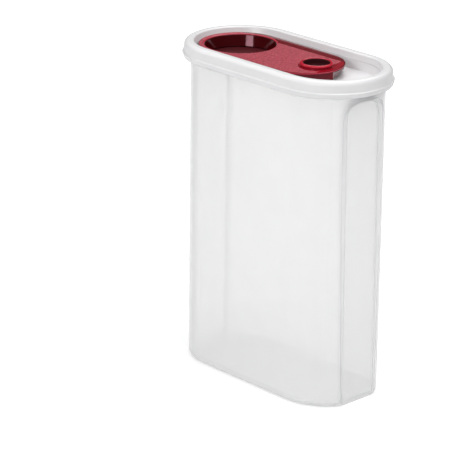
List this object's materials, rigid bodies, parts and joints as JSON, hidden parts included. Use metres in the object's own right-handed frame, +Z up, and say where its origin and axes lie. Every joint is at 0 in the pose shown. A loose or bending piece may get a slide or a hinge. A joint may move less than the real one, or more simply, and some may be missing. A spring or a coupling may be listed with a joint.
{
  "type": "cereal container",
  "caption": "Tall oblong cereal container with a press-on lid and a flip-up pouring cap with a round well and a thumb ring.",
  "frame": {"origin": "middle of the flat base, on the table", "axes": "+Z up; +X along the long side towards the hinge end of the lid, so the cereal is poured over -X; +Y across the narrow side"},
  "size_m": [0.2, 0.0998, 0.2735],
  "materials": {
    "frosted_plastic": "frosted, see-through natural polypropylene",
    "white_plastic": "glossy white moulded plastic",
    "red_plastic": "deep wine red plastic, fine matt grain on the top face, glossy elsewhere"
  },
  "bodies": {
    "container": {"container_body": "frosted_plastic"},
    "lid_body": {"lid": "white_plastic"},
    "cap_body": {"flip_cap": "red_plastic"}
  },
  "joints": [
    {"name": "lid_lift", "type": "slide", "parent": "container", "child": "lid_body", "axis": [0, 0, 1], "range_m": [0, 0.03]},
    {"name": "cap_hinge", "type": "hinge", "parent": "lid_body", "child": "cap_body", "pos_m": [0.048, 0, 0.2656], "axis": [0, 1, 0], "range_deg": [0, 85]}
  ]
}
